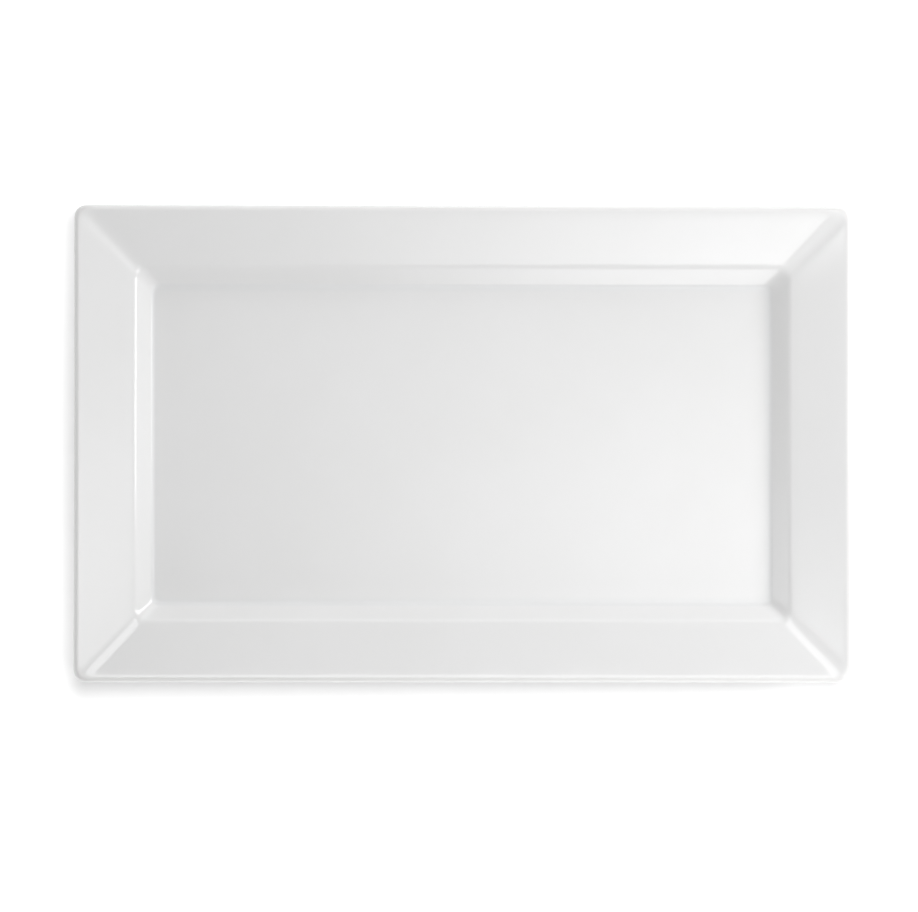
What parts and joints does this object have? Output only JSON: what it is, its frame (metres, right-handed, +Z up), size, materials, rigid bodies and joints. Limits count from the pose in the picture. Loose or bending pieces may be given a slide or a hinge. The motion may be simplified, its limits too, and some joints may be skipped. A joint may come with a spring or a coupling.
{
  "type": "rectangular serving platter",
  "caption": "Rectangular white china serving platter: flat well, steep wall, broad sloping rim with a rounded lip, low foot ring underneath.",
  "frame": {"origin": "centre of the plane that the foot ring stands on", "axes": "+X along the platter's length, +Y along its width, +Z up out of the well"},
  "size_m": [0.362, 0.222, 0.0241],
  "materials": {
    "biscuit_porcelain": "matte, fine sandy texture",
    "white_glaze": "gloss"
  },
  "bodies": {
    "root": {"porcelain_body": "biscuit_porcelain", "outer_glaze": "white_glaze", "base_glaze": "white_glaze"}
  },
  "joints": []
}
